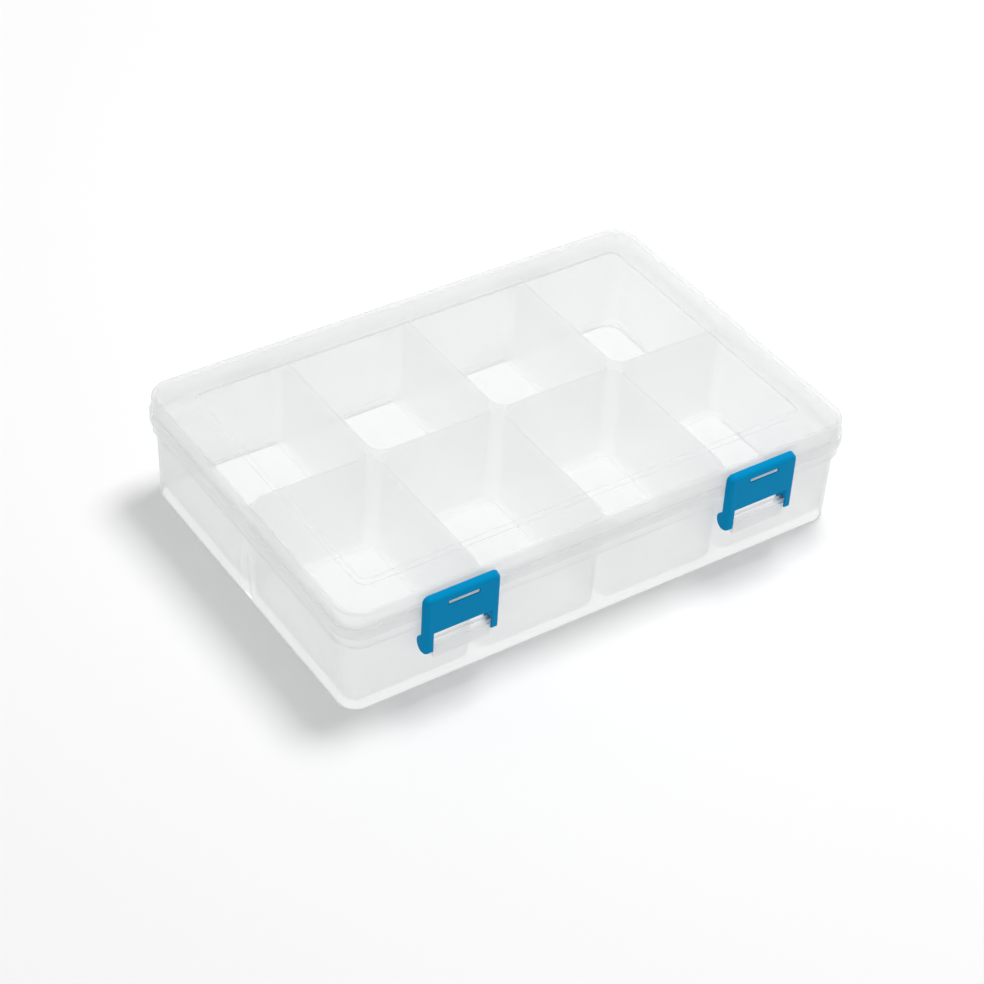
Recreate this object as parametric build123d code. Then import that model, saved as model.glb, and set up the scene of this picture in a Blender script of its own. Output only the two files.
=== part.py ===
from build123d import *
from math import atan, degrees, radians, tan
import os

# Driving sizes of the closed box, in millimetres; X runs along the latches, Y from them to the hinges
box_length = 200.0
box_depth = 136.0
box_height = 43.5
corner_radius = 9.6
columns = 4
rows = 2

# Base tub
wall = 1.4
floor_thickness = 1.4
divider_root = 2.0
draft = 0.7
foot_inset = 2.6
foot_edge_radius = 0.8
pocket_corner = 4.5
pocket_floor_radius = 4.0
divider_gap = 1.6
divider_end_lean = 45.0
divider_edge_radius = 0.2

# Rim band round the tub, on which the lid closes
rim_bottom = 28.0
rim_height = 4.3
rim_inset = 0.8
rim_edge_radius = 0.5

# Flute in the outside of each short wall, behind the long divider's end
flute_radius = 8.0
flute_depth = 1.3
flute_height = 26.0

# Lid
lid_top = 1.3
skirt = 1.2
closing_gap = 0.2
step_height = 4.3
step_inset = 0.8
ledge_thickness = 0.8
lip_gap = 0.4
lid_edge_radius = 2.0
step_edge_radius = 0.4
skirt_edge_radius = 0.3
lid_inner_radius = 1.0
panel_inset = 14.0
panel_depth = 0.5
panel_corner = 3.0

# Latches
latch_end = 41.0
latch_width = 28.0
latch_top_drop = 2.1
latch_depth = 2.75
latch_plate = 1.3
latch_flange = 1.4
latch_corner = 2.2
latch_edge_radius = 1.3
latch_draft = 10.0
latch_gap = 0.35
leg_opening_height = 4.9
window_length = 11.7
window_height = 1.6
window_drop = 3.6

# Latch pivots on the base
pivot_height = 22.2
knuckle_radius = 3.3
knuckle_wall_gap = 0.35
stub_radius = 1.2
stub_length = 2.0
running_gap = 0.06
side_gap = 0.35
lug_length = 21.2
lug_front = 1.6
lug_top_drop = 0.6
lug_bottom = 16.6
lug_edge_radius = 0.3

# Hinges at the back
hinge_end = 41.0
hinge_clip_length = 12.0
hinge_clip_radius = 2.6
hinge_web_thickness = 2.9
hinge_pin_radius = 1.5
hinge_mouth = 2.5
hinge_mouth_angle = 50.0
hinge_ear_thickness = 2.6
hinge_ear_radius = 2.7
hinge_ear_rise = 3.5
hinge_skirt_gap = 0.5

# Heights and places that follow from them
parting = rim_bottom + rim_height
skirt_bottom = parting + closing_gap
step_z = skirt_bottom + step_height
lip_top = step_z - ledge_thickness - lip_gap
lid_underside = box_height - lid_top
divider_top = lid_underside - divider_gap
slope = tan(radians(draft))
pivot_y = -(box_depth / 2 - foot_inset + pivot_height * slope + knuckle_wall_gap + knuckle_radius)
latch_back = -(box_depth / 2 + latch_gap)
latch_front = latch_back - latch_depth
latch_top = box_height - latch_top_drop
latch_places = [latch_end - box_length / 2, box_length / 2 - latch_end]
window_middle = latch_top - window_drop
hinge_y = box_depth / 2 + hinge_clip_radius + hinge_skirt_gap
hinge_z = rim_bottom + rim_height / 2
hinge_places = [hinge_end - box_length / 2, box_length / 2 - hinge_end]
hinge_bore_radius = hinge_pin_radius + running_gap


def outline(inset, z):
    """Rounded rectangle that lies this far inside the lid's outline, at height z."""
    shape = RectangleRounded(box_length - 2 * inset, box_depth - 2 * inset, corner_radius - inset)
    return Pos(0, 0, z) * shape


def slab(inset, low, high, lean=0.0):
    """Upright block with that outline; a positive lean narrows it upwards."""
    return extrude(outline(inset, low), amount=high - low, taper=lean)


def bar(radius, length, x, y, z):
    """Round bar along X, centred on a point."""
    return Pos(x, y, z) * Rot(0, 90, 0) * Cylinder(radius, length)


def block(x_range, y_range, z_range):
    """Box between two corners."""
    size = [high - low for low, high in (x_range, y_range, z_range)]
    middle = [(high + low) / 2 for low, high in (x_range, y_range, z_range)]
    return Pos(*middle) * Box(*size)


def edges_at(part, z, spread=0.02):
    """Edges that lie wholly in the horizontal plane at height z."""
    found = []
    for edge in part.edges():
        box = edge.bounding_box()
        if abs(box.min.Z - z) < spread and abs(box.max.Z - z) < spread:
            found.append(edge)
    return found


def pocket_sizes():
    """Length and depth of one compartment at its floor."""
    inner_length = box_length - 2 * (foot_inset + wall)
    inner_depth = box_depth - 2 * (foot_inset + wall)
    length = (inner_length - (columns - 1) * divider_root) / columns
    depth = (inner_depth - (rows - 1) * divider_root) / rows
    return length, depth


def pocket():
    """Hollow of one compartment, widening upwards, with rounded corners and floor edges."""
    length, depth = pocket_sizes()
    floor_outline = Pos(0, 0, floor_thickness) * RectangleRounded(length, depth, pocket_corner)
    hollow = extrude(floor_outline, amount=divider_top - floor_thickness, taper=-draft)
    return fillet(edges_at(hollow, floor_thickness), pocket_floor_radius)


def pockets():
    """All compartments in their grid."""
    length, depth = pocket_sizes()
    hollow = pocket()
    placed = []
    for column in range(columns):
        for row in range(rows):
            x = (column - (columns - 1) / 2) * (length + divider_root)
            y = (row - (rows - 1) / 2) * (depth + divider_root)
            placed.append(Pos(x, y, 0) * hollow)
    return placed


def flute(side):
    """Round-bottomed groove that runs out towards the rim, on the left (-1) or right (1) wall."""
    lean = degrees(atan((flute_depth + flute_height * slope) / flute_height))
    x = side * (box_length / 2 - foot_inset + flute_radius - flute_depth)
    return Pos(x, 0, 0) * Rot(0, side * lean, 0) * Cylinder(flute_radius, 2 * flute_height)


def lug(x):
    """Block between a latch's legs, and the pin along its top whose ends the latch turns on."""
    ends = (x - lug_length / 2, x + lug_length / 2)
    front = pivot_y - lug_front
    inside_wall = -(box_depth / 2 - foot_inset - wall / 2)
    body = block(ends, (front, inside_wall), (lug_bottom, pivot_height - lug_top_drop))
    front_edges = [edge for edge in body.edges() if edge.center().Y < front + lug_edge_radius]
    body = fillet(front_edges, lug_edge_radius)
    return body + bar(stub_radius, lug_length + 2 * stub_length, x, pivot_y, pivot_height)


def hinge_clip(x):
    """Open clip on the back of the rim, in which a bar of the lid turns."""
    half = hinge_clip_length / 2
    ring = bar(hinge_clip_radius, hinge_clip_length, x, hinge_y, hinge_z)
    web_y = (box_depth / 2 - rim_inset - wall, hinge_y)
    web_z = (hinge_z - hinge_web_thickness / 2, hinge_z + hinge_web_thickness / 2)
    web = block((x - half, x + half), web_y, web_z)
    bore = bar(hinge_bore_radius, 2 * hinge_clip_length, x, hinge_y, hinge_z)
    mouth_y = (-hinge_mouth / 2, hinge_mouth / 2)
    mouth = block((-hinge_clip_length, hinge_clip_length), mouth_y, (0, 2 * hinge_clip_radius))
    turned = Pos(x, hinge_y, hinge_z) * Rot(-hinge_mouth_angle, 0, 0) * mouth
    return ring + web - bore - turned


def make_base():
    """The tub with its dividers, rim, lip, latch lugs and hinge clips, moulded in one."""
    tub = slab(foot_inset, 0, lip_top, -draft)
    tub = fillet(edges_at(tub, 0), foot_edge_radius)
    rim = slab(rim_inset, rim_bottom, parting)
    tub += fillet(edges_at(rim, rim_bottom), rim_edge_radius)
    lip_inner_inset = foot_inset + wall - (lip_top - floor_thickness) * slope
    tub += slab(lip_inner_inset, lip_top, divider_top, divider_end_lean)
    for hollow in pockets():
        tub -= hollow
    tub = fillet(edges_at(tub, divider_top), divider_edge_radius)
    for side in (-1, 1):
        tub -= flute(side)
    for x in latch_places:
        tub += lug(x)
    for x in hinge_places:
        tub += hinge_clip(x)
    return tub


def hinge_ears(x):
    """Two ears on the back of the skirt and the bar that joins them."""
    inner = hinge_clip_length / 2 + side_gap
    top = skirt_bottom + hinge_ear_rise
    back = box_depth / 2
    bar_length = 2 * (inner + hinge_ear_thickness)
    parts = bar(hinge_pin_radius, bar_length, x, hinge_y, hinge_z)
    profile = Plane.YZ * make_hull(
        [
            Pos(hinge_y, hinge_z) * CenterArc((0, 0), hinge_ear_radius, 0, 360),
            Line((back, skirt_bottom + closing_gap), (back, top)),
        ]
    )
    for start in (x - inner - hinge_ear_thickness, x + inner):
        parts += Pos(start, 0, 0) * extrude(profile, amount=hinge_ear_thickness)
    tail = block((x - inner - hinge_ear_thickness, x + inner + hinge_ear_thickness), (0, back), (0, box_height))
    return parts - tail


def make_lid():
    """Cap with a stepped skirt, an inset top panel and the hinge bars."""
    lower = slab(0, skirt_bottom, step_z)
    lower = fillet(edges_at(lower, step_z), step_edge_radius)
    lower = fillet(edges_at(lower, skirt_bottom), skirt_edge_radius)
    upper = slab(step_inset, skirt_bottom, box_height)
    upper = fillet(edges_at(upper, box_height), lid_edge_radius)
    shell = lower + upper
    panel = RectangleRounded(box_length - 2 * panel_inset, box_depth - 2 * panel_inset, panel_corner)
    shell -= extrude(Pos(0, 0, box_height - panel_depth) * panel, amount=lid_top)
    shell -= slab(skirt, 0, step_z - ledge_thickness)
    hollow = slab(step_inset + skirt, 0, lid_underside)
    hollow = fillet(edges_at(hollow, lid_underside), lid_inner_radius)
    boss = RectangleRounded(
        box_length - 2 * (panel_inset - lid_top), box_depth - 2 * (panel_inset - lid_top), panel_corner + lid_top
    )
    hollow -= extrude(Pos(0, 0, lid_underside - panel_depth) * boss, amount=lid_top)
    shell -= hollow
    for x in hinge_places:
        shell += hinge_ears(x)
    return shell


def latch_blank():
    """Outer form of a latch: drafted front with rounded edges, straight sides behind it."""
    low = pivot_height - 2 * knuckle_radius
    face = Pos(0, (latch_top + low) / 2) * RectangleRounded(latch_width, latch_top - low, latch_corner)
    back_plane = Plane.XZ.offset(-latch_back)
    front = extrude(back_plane * face, amount=latch_back - latch_front, taper=latch_draft)
    front_edges = [edge for edge in front.edges() if edge.bounding_box().max.Y < latch_front + latch_gap]
    front = fillet(front_edges, latch_edge_radius)
    return front + extrude(back_plane * face, amount=-2 * knuckle_radius)


def latch_profile():
    """Side outline of a latch: straight plate above, round knuckle below, cut flat in front."""
    beyond = 2 * knuckle_radius
    ends = (-latch_width, latch_width)
    plate = block(ends, (latch_front - beyond, latch_back), (pivot_height, latch_top + beyond))
    return plate + bar(knuckle_radius, 2 * latch_width, 0, pivot_y, pivot_height)


def make_latch(x):
    """Shallow cap that turns on the base's stubs, with a window under its hook rib."""
    latch = latch_blank() & latch_profile()
    half_opening = lug_length / 2 + side_gap
    half_cavity = latch_width / 2 - latch_flange
    leg_top = pivot_height + leg_opening_height
    inner_face = latch_front + latch_plate
    behind = latch_back + 3 * knuckle_radius
    latch -= block((-half_opening, half_opening), (latch_front - latch_plate, behind), (0, leg_top))
    latch -= block((-half_opening, half_opening), (inner_face, behind), (0, leg_top + latch_flange))
    cavity_z = (leg_top + latch_flange, latch_top - latch_flange)
    latch -= block((-half_cavity, half_cavity), (inner_face, behind), cavity_z)
    half_window = window_length / 2
    window_z = (window_middle - window_height / 2, window_middle + window_height / 2)
    latch -= block((-half_window, half_window), (latch_front - latch_plate, behind), window_z)
    hook_z = (window_z[1], latch_top - latch_flange / 2)
    latch += block((-half_window, half_window), (inner_face, latch_back), hook_z)
    latch -= bar(stub_radius + running_gap, lug_length + 2 * (stub_length + side_gap), 0, pivot_y, pivot_height)
    return Pos(x, 0, 0) * latch


if __name__ == "__main__":
    os.makedirs("parts", exist_ok=True)
    export_step(make_base(), "parts/base.step")
    export_step(make_lid(), "parts/lid.step")
    for name, x in zip(("left_latch", "right_latch"), latch_places):
        export_step(make_latch(x), f"parts/{name}.step")
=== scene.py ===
import math

import bmesh
import bpy
from mathutils import Matrix, Vector


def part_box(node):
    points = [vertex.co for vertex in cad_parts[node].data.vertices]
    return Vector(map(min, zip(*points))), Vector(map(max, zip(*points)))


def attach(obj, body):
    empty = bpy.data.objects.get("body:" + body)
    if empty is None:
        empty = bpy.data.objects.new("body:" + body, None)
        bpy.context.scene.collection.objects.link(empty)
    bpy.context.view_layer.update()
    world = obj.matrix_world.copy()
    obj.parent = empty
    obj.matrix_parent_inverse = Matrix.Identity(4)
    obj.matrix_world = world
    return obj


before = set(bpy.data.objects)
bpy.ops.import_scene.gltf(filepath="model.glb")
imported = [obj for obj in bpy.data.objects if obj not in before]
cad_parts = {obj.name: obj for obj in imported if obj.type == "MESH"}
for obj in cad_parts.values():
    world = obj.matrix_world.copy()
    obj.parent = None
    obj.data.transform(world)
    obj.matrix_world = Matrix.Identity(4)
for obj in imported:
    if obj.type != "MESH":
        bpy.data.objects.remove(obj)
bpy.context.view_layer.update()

bl_info = {
    "name": "Compartment storage box",
    "version": (1, 0, 0),
    "blender": (4, 5, 0),
    "location": "View3D > Sidebar > Storage box",
    "description": "Moulded polypropylene finishes, table, light and camera for a compartment box",
    "category": "Object",
}

MM = 0.001


class PlasticSettings(bpy.types.PropertyGroup):
    tint: bpy.props.StringProperty(
        name="Natural plastic",
        description="Colour that unpigmented polypropylene gives to light that passes it",
        default="#FCFCFC",
    )
    # The edge colour is partly the grey of the long way through the plastic and partly painted shade along
    # the outlines
    edge: bpy.props.StringProperty(
        name="Edge",
        description="Colour that it gives to light that passes along an edge",
        default="#98A0A8",
    )
    milk: bpy.props.StringProperty(
        name="Milk", description="Colour of the light that it scatters", default="#F6F7F7"
    )
    floor_milk: bpy.props.FloatProperty(
        name="Floor milk",
        description="Share of light that a level face of the base scatters",
        default=0.03,
        subtype="FACTOR",
    )
    wall_milk: bpy.props.FloatProperty(
        name="Wall milk",
        description="Share of light that an upright face of the base scatters",
        default=0.5,
        subtype="FACTOR",
    )
    panel_milk: bpy.props.FloatProperty(
        name="Panel milk",
        description="Share of light that a level face of the lid scatters",
        default=0.25,
        subtype="FACTOR",
    )
    skirt_milk: bpy.props.FloatProperty(
        name="Skirt milk",
        description="Share of light that an upright face of the lid scatters",
        default=0.4,
        subtype="FACTOR",
    )
    shade: bpy.props.FloatProperty(
        name="Shade",
        description="Share of a lamp's light that an upright face of the base holds back besides",
        default=0.8,
        subtype="FACTOR",
    )
    polished: bpy.props.FloatProperty(
        name="Polished", description="Roughness of the level faces", default=0.11, subtype="FACTOR"
    )
    satin: bpy.props.FloatProperty(
        name="Satin", description="Roughness of the upright faces", default=0.35, subtype="FACTOR"
    )
    blue: bpy.props.StringProperty(
        name="Latch blue", description="Colour of the pigmented latches", default="#0086B9"
    )


class CatchSettings(bpy.types.PropertyGroup):
    length: bpy.props.FloatProperty(
        name="Length",
        description="Length of the rib on the lid that a latch's window closes over",
        default=11.2 * MM,
        unit="LENGTH",
    )
    height: bpy.props.FloatProperty(
        name="Height", description="Height of the rib", default=1.2 * MM, unit="LENGTH"
    )
    drop: bpy.props.FloatProperty(
        name="Drop",
        description="From the latch's top down to the rib's middle",
        default=3.6 * MM,
        unit="LENGTH",
    )
    sunk: bpy.props.FloatProperty(
        name="Sunk",
        description="From the latch's face in to the rib's end",
        default=0.15 * MM,
        unit="LENGTH",
    )
    reach: bpy.props.FloatProperty(
        name="Reach", description="From the rib's end in to the lid's wall", default=3.8 * MM, unit="LENGTH"
    )
    rounding: bpy.props.FloatProperty(
        name="Rounding", description="Radius of the rib's edges", default=0.2 * MM, unit="LENGTH"
    )
    milk: bpy.props.FloatProperty(
        name="Milk",
        description="Share of light that a face of the thick rib scatters",
        default=0.9,
        subtype="FACTOR",
    )
    # The glow colour is painted blue bounce light: the rib is natural plastic, tinted as if lit by the blue
    # latch round it
    glow: bpy.props.StringProperty(
        name="Glow", description="Colour of the rib, which picks up the blue round it", default="#EDF7FA"
    )


class StageSettings(bpy.types.PropertyGroup):
    azimuth: bpy.props.FloatProperty(
        name="Azimuth",
        description="Turn of the camera round the box from its front",
        default=math.radians(-35.44),
        subtype="ANGLE",
    )
    elevation: bpy.props.FloatProperty(
        name="Elevation",
        description="Height angle of the camera",
        default=math.radians(39.76),
        subtype="ANGLE",
    )
    roll: bpy.props.FloatProperty(
        name="Roll",
        description="Turn of the camera round its own axis",
        default=math.radians(3.42),
        subtype="ANGLE",
    )
    distance: bpy.props.FloatProperty(
        name="Distance", description="From the box's foot to the camera", default=0.9142, unit="LENGTH"
    )
    slide: bpy.props.FloatVectorProperty(
        name="Slide",
        description="Camera's offset to its right and up",
        default=(-0.00018, 0.00306),
        size=2,
        unit="LENGTH",
    )
    lens: bpy.props.FloatProperty(name="Lens", description="Focal length in millimetres", default=96.45)
    table: bpy.props.StringProperty(name="Table", description="Colour of the table", default="#ECECEC")
    table_half: bpy.props.FloatProperty(
        name="Table half", description="Half the side of the square table", default=4.0, unit="LENGTH"
    )
    table_drop: bpy.props.FloatProperty(
        name="Table drop", description="From the foot down to the table", default=0.1 * MM, unit="LENGTH"
    )
    table_near: bpy.props.FloatProperty(
        name="Table near",
        description="From the box's middle out to where the table starts to turn white",
        default=0.2,
        unit="LENGTH",
    )
    table_far: bpy.props.FloatProperty(
        name="Table far",
        description="From the box's middle out to where it is plain white",
        default=0.6,
        unit="LENGTH",
    )
    pad_half: bpy.props.FloatVectorProperty(
        name="Pad",
        description="Half length and half depth of the box's flat underside, which the pad fills",
        default=(96.6 * MM, 64.6 * MM),
        size=2,
        unit="LENGTH",
    )
    pad_drop: bpy.props.FloatProperty(
        name="Pad drop", description="From the foot down to the pad", default=0.05 * MM, unit="LENGTH"
    )
    pad_corner: bpy.props.FloatProperty(
        name="Pad corner", description="Corner radius of the pad", default=6.2 * MM, unit="LENGTH"
    )
    pad_light: bpy.props.FloatProperty(
        name="Pad light",
        description="Strength of the pad as a light, where a sheet of white paper is 1",
        default=1.4,
    )
    pad_white: bpy.props.FloatProperty(
        name="Pad white", description="Strength of the pad as it is seen through the plastic", default=1.1
    )
    key_place: bpy.props.FloatVectorProperty(
        name="Key place",
        description="Place of the softbox",
        default=(0.36, 0.08, 1.1),
        size=3,
        unit="LENGTH",
    )
    key_size: bpy.props.FloatProperty(
        name="Key size", description="Side of the softbox", default=0.4, unit="LENGTH"
    )
    key_power: bpy.props.FloatProperty(
        name="Key power", description="Power of the softbox", default=8.0, unit="POWER"
    )
    sky_light: bpy.props.FloatProperty(
        name="Sky light", description="Strength of the white surroundings as a light", default=0.67
    )
    clear_layers: bpy.props.IntProperty(
        name="Clear layers", description="Number of see-through faces that light passes", default=32
    )
    sky_top: bpy.props.FloatProperty(
        name="Sky top",
        description="Brightness of the surroundings overhead, as gloss mirrors them",
        default=0.95,
    )


def linear(hex_colour):
    """Linear RGBA of an sRGB hex colour."""
    values = []
    for start in (1, 3, 5):
        value = int(hex_colour[start : start + 2], 16) / 255
        values.append(value / 12.92 if value <= 0.04045 else ((value + 0.055) / 1.055) ** 2.4)
    return (*values, 1.0)


def add_node(tree, kind, settings=None, links=None):
    """Adds a node; settings name its sockets or properties, links feed its sockets from other sockets."""
    node = tree.nodes.new(kind)
    for key, value in (settings or {}).items():
        if isinstance(key, int) or key in node.inputs:
            node.inputs[key].default_value = value
        else:
            setattr(node, key, value)
    for key, source in (links or {}).items():
        tree.links.new(source, node.inputs[key])
    return node


def new_material(name):
    """An empty node material and its tree."""
    material = bpy.data.materials.new(name)
    material.use_nodes = True
    material.node_tree.nodes.clear()
    return material, material.node_tree


def natural_polypropylene(name, flat_milk, wall_milk, shade, colour):
    """Unpigmented moulded polypropylene: see-through but milky, and darker along its outlines by painted
    shade.
    """
    plastic = bpy.context.scene.box_plastic
    material, tree = new_material(name)
    place = add_node(tree, "ShaderNodeTexCoord")
    facing = add_node(tree, "ShaderNodeSeparateXYZ", links={"Vector": place.outputs["Normal"]})
    rise = add_node(tree, "ShaderNodeMath", {"operation": "ABSOLUTE"}, {0: facing.outputs["Z"]})
    # One on level faces, none on upright ones, and a smooth change round the fillets between them
    flat = add_node(
        tree,
        "ShaderNodeMapRange",
        {"interpolation_type": "SMOOTHSTEP", "From Min": 0.35, "From Max": 0.95},
        {"Value": rise.outputs[0]},
    )
    # Level faces are polished, upright ones drawn satin by the mould, and both uneven over some centimetres
    patches = add_node(
        tree,
        "ShaderNodeTexNoise",
        {"Scale": 1 / (25 * MM), "Detail": 3.0},
        {"Vector": place.outputs["Object"]},
    )
    wear = add_node(
        tree,
        "ShaderNodeMapRange",
        {"From Min": 0.3, "From Max": 0.7, "To Min": 0.85, "To Max": 1.15},
        {"Value": patches.outputs["Fac"]},
    )
    finish = add_node(
        tree,
        "ShaderNodeMapRange",
        {"To Min": plastic.satin, "To Max": plastic.polished},
        {"Value": flat.outputs["Result"]},
    )
    roughness = add_node(
        tree,
        "ShaderNodeMath",
        {"operation": "MULTIPLY"},
        {0: finish.outputs["Result"], 1: wear.outputs["Result"]},
    )
    # Faint sink marks, which bend the reflections a little
    ripple = add_node(
        tree,
        "ShaderNodeTexNoise",
        {"Scale": 1 / (9 * MM), "Detail": 1.0},
        {"Vector": place.outputs["Object"]},
    )
    bump = add_node(
        tree, "ShaderNodeBump", {"Strength": 0.04, "Distance": 0.1 * MM}, {"Height": ripple.outputs["Fac"]}
    )
    gloss = add_node(
        tree,
        "ShaderNodeBsdfGlossy",
        links={"Roughness": roughness.outputs[0], "Normal": bump.outputs["Normal"]},
    )
    # Seen along its surface, a face mirrors more, and what is behind greys along the outlines: partly the
    # long way through the plastic, partly painted shade for the dark that refraction would show there
    slant = add_node(tree, "ShaderNodeLayerWeight", {"Blend": 0.5})
    grazing = add_node(tree, "ShaderNodeMath", {"operation": "POWER", 1: 5.0}, {0: slant.outputs["Facing"]})
    painted_edge_shade = add_node(tree, "ShaderNodeMath", {"operation": "POWER", 1: 9.0}, {0: slant.outputs["Facing"]})
    tint_and_painted_edge_shade = add_node(
        tree,
        "ShaderNodeMix",
        {"data_type": "RGBA", "A": linear(plastic.tint), "B": linear(plastic.edge)},
        {"Factor": painted_edge_shade.outputs[0]},
    )
    clear = add_node(tree, "ShaderNodeBsdfTransparent", links={"Color": tint_and_painted_edge_shade.outputs["Result"]})
    mirror = add_node(
        tree, "ShaderNodeMath", {"operation": "MULTIPLY_ADD", 1: 0.56, 2: 0.04}, {0: grazing.outputs[0]}
    )
    surface = add_node(
        tree, "ShaderNodeMixShader", links={0: mirror.outputs[0], 1: clear.outputs[0], 2: gloss.outputs[0]}
    )
    # Half of the scattered light goes on through the wall and half comes back
    onward = add_node(tree, "ShaderNodeBsdfTranslucent", {"Color": linear(colour)})
    back = add_node(tree, "ShaderNodeBsdfDiffuse", {"Color": linear(colour)})
    milk = add_node(tree, "ShaderNodeMixShader", {0: 0.5}, {1: onward.outputs[0], 2: back.outputs[0]})
    share = add_node(
        tree,
        "ShaderNodeMapRange",
        {"To Min": wall_milk, "To Max": flat_milk},
        {"Value": flat.outputs["Result"]},
    )
    thicker = add_node(
        tree,
        "ShaderNodeMath",
        {"operation": "MULTIPLY_ADD", 1: 0.3, "use_clamp": True},
        {0: grazing.outputs[0], 2: share.outputs["Result"]},
    )
    # Upright faces hold back more of a lamp's light, so that thin walls still cast a shadow
    path = add_node(tree, "ShaderNodeLightPath")
    upright = add_node(
        tree, "ShaderNodeMapRange", {"To Min": shade, "To Max": 0.0}, {"Value": flat.outputs["Result"]}
    )
    held = add_node(
        tree,
        "ShaderNodeMath",
        {"operation": "MULTIPLY_ADD", "use_clamp": True},
        {0: path.outputs["Is Shadow Ray"], 1: upright.outputs["Result"], 2: thicker.outputs[0]},
    )
    milky = add_node(
        tree, "ShaderNodeMixShader", links={0: held.outputs[0], 1: surface.outputs[0], 2: milk.outputs[0]}
    )
    add_node(tree, "ShaderNodeOutputMaterial", links={"Surface": milky.outputs[0]})
    return material


def blue_polypropylene(name):
    """Pigmented polypropylene from a satin mould: solid colour under a broad soft highlight."""
    plastic = bpy.context.scene.box_plastic
    material, tree = new_material(name)
    place = add_node(tree, "ShaderNodeTexCoord")
    # Fine satin texture of the mould, and faces that handling has polished in places
    grain = add_node(
        tree,
        "ShaderNodeTexNoise",
        {"Scale": 1 / (0.5 * MM), "Detail": 2.0},
        {"Vector": place.outputs["Object"]},
    )
    bump = add_node(
        tree, "ShaderNodeBump", {"Strength": 0.15, "Distance": 0.02 * MM}, {"Height": grain.outputs["Fac"]}
    )
    handled = add_node(
        tree,
        "ShaderNodeTexNoise",
        {"Scale": 1 / (6 * MM), "Detail": 2.0},
        {"Vector": place.outputs["Object"]},
    )
    roughness = add_node(
        tree,
        "ShaderNodeMapRange",
        {"From Min": 0.3, "From Max": 0.7, "To Min": 0.38, "To Max": 0.52},
        {"Value": handled.outputs["Fac"]},
    )
    surface = add_node(
        tree,
        "ShaderNodeBsdfPrincipled",
        {"Base Color": linear(plastic.blue), "IOR": 1.49, "Specular IOR Level": 0.03},
        {"Roughness": roughness.outputs["Result"], "Normal": bump.outputs["Normal"]},
    )
    add_node(tree, "ShaderNodeOutputMaterial", links={"Surface": surface.outputs[0]})
    return material


def dress(node, material):
    """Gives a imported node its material."""
    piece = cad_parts[node]
    for slot in piece.material_slots:
        slot.material = material


class BOX_OT_base(bpy.types.Operator):
    """Dress the base with its compartments in natural polypropylene"""

    bl_idname = "box.base"
    bl_label = "Base"

    def execute(self, context):
        plastic = context.scene.box_plastic
        material = natural_polypropylene(
            "moulded_natural_polypropylene_base",
            plastic.floor_milk,
            plastic.wall_milk,
            plastic.shade,
            plastic.milk,
        )
        dress("base", material)
        return {"FINISHED"}


class BOX_OT_lid(bpy.types.Operator):
    """Dress the lid in natural polypropylene"""

    bl_idname = "box.lid"
    bl_label = "Lid"

    def execute(self, context):
        plastic = context.scene.box_plastic
        material = natural_polypropylene(
            "moulded_natural_polypropylene_lid", plastic.panel_milk, plastic.skirt_milk, 0.0, plastic.milk
        )
        dress("lid", material)
        return {"FINISHED"}


class BOX_OT_latches(bpy.types.Operator):
    """Dress both latches in blue polypropylene"""

    bl_idname = "box.latches"
    bl_label = "Latches"

    def execute(self, context):
        material = blue_polypropylene("moulded_blue_polypropylene")
        for node in ("left_latch", "right_latch"):
            dress(node, material)
        return {"FINISHED"}


def add_catch(latch, catch, material):
    """Rib on the lid's wall, in the window of one latch."""
    low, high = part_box(latch)
    size = Vector((catch.length, catch.reach, catch.height))
    end_y = low[1] + catch.sunk
    place = Vector(((low[0] + high[0]) / 2, end_y + catch.reach / 2, high[2] - catch.drop))
    stretch = Matrix.Translation(place) @ Matrix.Diagonal((*size, 1.0))
    form = bmesh.new()
    bmesh.ops.create_cube(form, size=1.0, matrix=stretch)
    bmesh.ops.bevel(
        form, geom=form.edges[:], offset=catch.rounding, segments=3, profile=0.5, affect="EDGES"
    )
    mesh = bpy.data.meshes.new(latch.replace("latch", "catch"))
    form.to_mesh(mesh)
    form.free()
    mesh.materials.append(material)
    piece = bpy.data.objects.new(mesh.name, mesh)
    bpy.context.scene.collection.objects.link(piece)
    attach(piece, "cover")


class BOX_OT_catches(bpy.types.Operator):
    """Add the lid's two catch ribs"""

    bl_idname = "box.catches"
    bl_label = "Catches"

    def execute(self, context):
        catch = context.scene.box_catch
        # The catch's milk colour is painted blue bounce light from the latch round it
        material = natural_polypropylene(
            "moulded_natural_polypropylene_catch", catch.milk, catch.milk, 0.0, catch.glow
        )
        for latch in ("left_latch", "right_latch"):
            add_catch(latch, catch, material)
        return {"FINISHED"}


def view_axes(stage):
    """Right, up and backward directions of the camera."""
    level = math.cos(stage.elevation)
    back = Vector(
        (math.sin(stage.azimuth) * level, -math.cos(stage.azimuth) * level, math.sin(stage.elevation))
    )
    right = Vector((math.cos(stage.azimuth), math.sin(stage.azimuth), 0))
    up = back.cross(right)
    turned_right = right * math.cos(stage.roll) + up * math.sin(stage.roll)
    turned_up = up * math.cos(stage.roll) - right * math.sin(stage.roll)
    return turned_right, turned_up, back


def add_camera(stage):
    """Camera at the photograph's angle, with everything in focus."""
    right, up, back = view_axes(stage)
    data = bpy.data.cameras.new("camera")
    data.lens = stage.lens
    camera = bpy.data.objects.new("camera", data)
    bpy.context.scene.collection.objects.link(camera)
    place = back * stage.distance + right * stage.slide[0] + up * stage.slide[1]
    turn = Matrix((right, up, back)).transposed().to_4x4()
    camera.matrix_world = Matrix.Translation(place) @ turn
    bpy.context.scene.camera = camera


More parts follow.
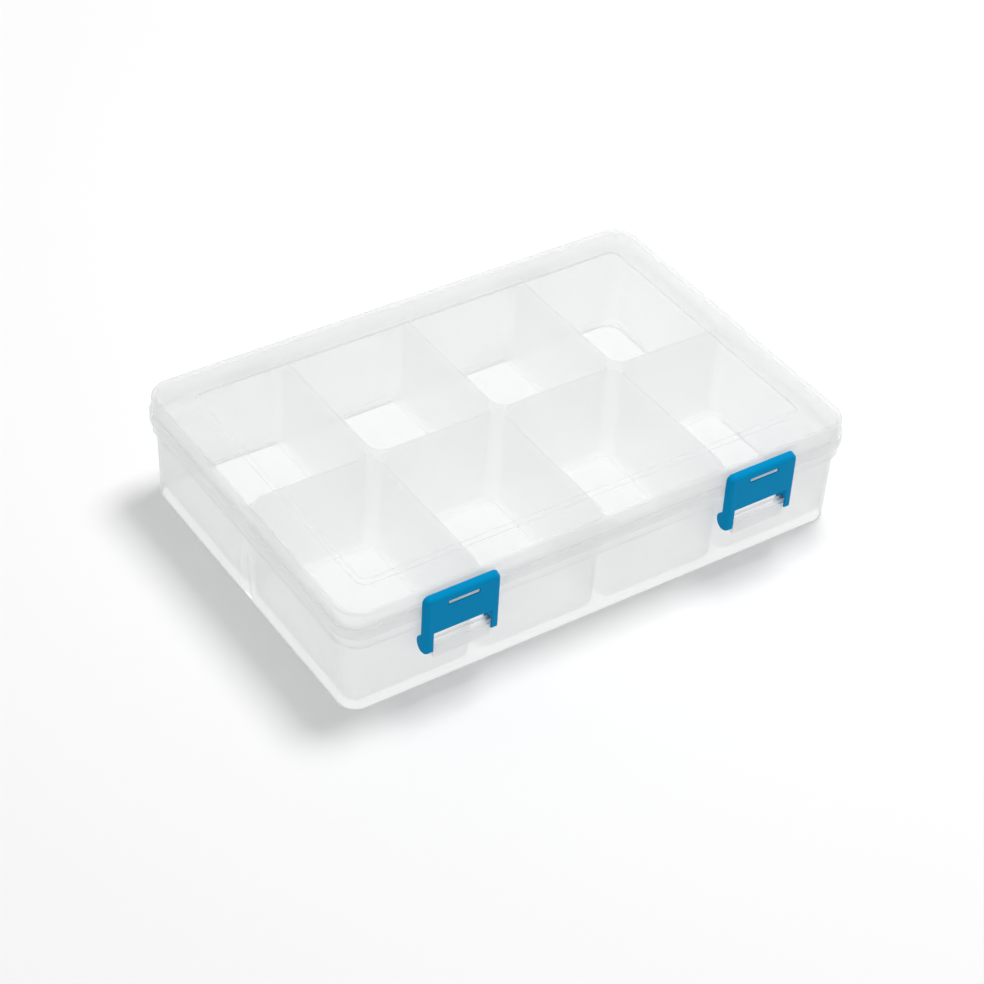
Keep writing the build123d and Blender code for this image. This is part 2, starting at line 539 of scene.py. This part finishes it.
def add_table(stage):
    """Wide table top that keeps the box's shadow and is seen as plain white further out."""
    half = stage.table_half
    mesh = bpy.data.meshes.new("table")
    corners = [(-half, -half, 0), (half, -half, 0), (half, half, 0), (-half, half, 0)]
    mesh.from_pydata(corners, [], [(0, 1, 2, 3)])
    table = bpy.data.objects.new("table", mesh)
    bpy.context.scene.collection.objects.link(table)
    table.location.z = -stage.table_drop
    material, tree = new_material("matt_lacquer_table")
    matt = add_node(tree, "ShaderNodeBsdfDiffuse", {"Color": linear(stage.table)})
    place = add_node(tree, "ShaderNodeTexCoord")
    away = add_node(tree, "ShaderNodeVectorMath", {"operation": "LENGTH"}, {0: place.outputs["Object"]})
    outer = add_node(
        tree,
        "ShaderNodeMapRange",
        {"interpolation_type": "SMOOTHSTEP", "From Min": stage.table_near, "From Max": stage.table_far},
        {"Value": away.outputs["Value"]},
    )
    path = add_node(tree, "ShaderNodeLightPath")
    seen = add_node(
        tree,
        "ShaderNodeMath",
        {"operation": "MAXIMUM"},
        {0: path.outputs["Is Camera Ray"], 1: path.outputs["Is Glossy Ray"]},
    )
    share = add_node(
        tree, "ShaderNodeMath", {"operation": "MULTIPLY"}, {0: outer.outputs["Result"], 1: seen.outputs[0]}
    )
    white = add_node(tree, "ShaderNodeEmission", {"Strength": 1.0})
    surface = add_node(
        tree, "ShaderNodeMixShader", links={0: share.outputs[0], 1: matt.outputs[0], 2: white.outputs[0]}
    )
    add_node(tree, "ShaderNodeOutputMaterial", links={"Surface": surface.outputs[0]})
    mesh.materials.append(material)


def add_pad(stage):
    """Lit white pad under the foot, which keeps the clear floor of the box bright."""
    mesh = bpy.data.meshes.new("light_pad")
    radius = stage.pad_corner
    steps = 8
    corners = []
    for quarter, (side_x, side_y) in enumerate(((1, 1), (-1, 1), (-1, -1), (1, -1))):
        for step in range(steps + 1):
            turn = math.radians(90 * (quarter + step / steps))
            x = side_x * (stage.pad_half[0] - radius) + radius * math.cos(turn)
            y = side_y * (stage.pad_half[1] - radius) + radius * math.sin(turn)
            corners.append((x, y, 0))
    mesh.from_pydata(corners, [], [range(len(corners))])
    pad = bpy.data.objects.new("light_pad", mesh)
    bpy.context.scene.collection.objects.link(pad)
    pad.location.z = -stage.pad_drop
    material, tree = new_material("cast_opal_acrylic_lit")
    path = add_node(tree, "ShaderNodeLightPath")
    level = add_node(
        tree,
        "ShaderNodeMapRange",
        {"To Min": stage.pad_light, "To Max": stage.pad_white},
        {"Value": path.outputs["Is Camera Ray"]},
    )
    glow = add_node(tree, "ShaderNodeEmission", links={"Strength": level.outputs["Result"]})
    add_node(tree, "ShaderNodeOutputMaterial", links={"Surface": glow.outputs[0]})
    mesh.materials.append(material)


def add_key(stage):
    """Square softbox, above and to the right, aimed at the box but not mirrored in its flat lid."""
    data = bpy.data.lights.new("key_softbox", "AREA")
    data.size = stage.key_size
    data.energy = stage.key_power
    lamp = bpy.data.objects.new("key_softbox", data)
    bpy.context.scene.collection.objects.link(lamp)
    lamp.location = stage.key_place
    lamp.visible_glossy = False
    lamp.rotation_euler = (-Vector(stage.key_place)).to_track_quat("-Z", "Y").to_euler()


def add_world(stage):
    """White surroundings: plain white where seen, dimmer as light."""
    world = bpy.data.worlds.new("studio")
    bpy.context.scene.world = world
    world.use_nodes = True
    tree = world.node_tree
    tree.nodes.clear()
    path = add_node(tree, "ShaderNodeLightPath")
    first = add_node(
        tree,
        "ShaderNodeMath",
        {"operation": "MAXIMUM"},
        {0: path.outputs["Is Camera Ray"], 1: path.outputs["Is Glossy Ray"]},
    )
    seen = add_node(
        tree,
        "ShaderNodeMath",
        {"operation": "MAXIMUM"},
        {0: first.outputs[0], 1: path.outputs["Is Transmission Ray"]},
    )
    place = add_node(tree, "ShaderNodeTexCoord")
    parts = add_node(tree, "ShaderNodeSeparateXYZ", links={"Vector": place.outputs["Generated"]})
    sky = add_node(
        tree,
        "ShaderNodeMapRange",
        {"From Min": 0.05, "From Max": 0.8, "To Min": 1.0, "To Max": stage.sky_top},
        {"Value": parts.outputs["Z"]},
    )
    strength = add_node(
        tree,
        "ShaderNodeMapRange",
        {"To Min": stage.sky_light},
        {"Value": seen.outputs[0], "To Max": sky.outputs["Result"]},
    )
    light = add_node(
        tree, "ShaderNodeBackground", {"Color": (1, 1, 1, 1)}, {"Strength": strength.outputs["Result"]}
    )
    add_node(tree, "ShaderNodeOutputWorld", links={"Surface": light.outputs[0]})


class BOX_OT_stage(bpy.types.Operator):
    """Add the table, the light and the camera"""

    bl_idname = "box.stage"
    bl_label = "Stage"

    def execute(self, context):
        stage = context.scene.box_stage
        add_camera(stage)
        add_table(stage)
        add_pad(stage)
        add_key(stage)
        add_world(stage)
        context.scene.view_settings.view_transform = "Standard"
        context.scene.cycles.transparent_max_bounces = stage.clear_layers
        return {"FINISHED"}


OPERATORS = (BOX_OT_base, BOX_OT_lid, BOX_OT_latches, BOX_OT_catches, BOX_OT_stage)


class BOX_PT_panel(bpy.types.Panel):
    """Lists the pieces of the storage box"""

    bl_idname = "BOX_PT_panel"
    bl_label = "Storage box"
    bl_space_type = "VIEW_3D"
    bl_region_type = "UI"
    bl_category = "Storage box"

    def draw(self, context):
        for operator in OPERATORS:
            self.layout.operator(operator.bl_idname)


CLASSES = (PlasticSettings, CatchSettings, StageSettings, *OPERATORS, BOX_PT_panel)


def register():
    for cls in CLASSES:
        bpy.utils.register_class(cls)
    bpy.types.Scene.box_plastic = bpy.props.PointerProperty(type=PlasticSettings)
    bpy.types.Scene.box_catch = bpy.props.PointerProperty(type=CatchSettings)
    bpy.types.Scene.box_stage = bpy.props.PointerProperty(type=StageSettings)


def unregister():
    del bpy.types.Scene.box_stage
    del bpy.types.Scene.box_catch
    del bpy.types.Scene.box_plastic
    for cls in reversed(CLASSES):
        bpy.utils.unregister_class(cls)


def main():
    register()
    bpy.ops.box.base()
    bpy.ops.box.lid()
    bpy.ops.box.latches()
    bpy.ops.box.catches()
    bpy.ops.box.stage()


if __name__ == "__main__":
    main()
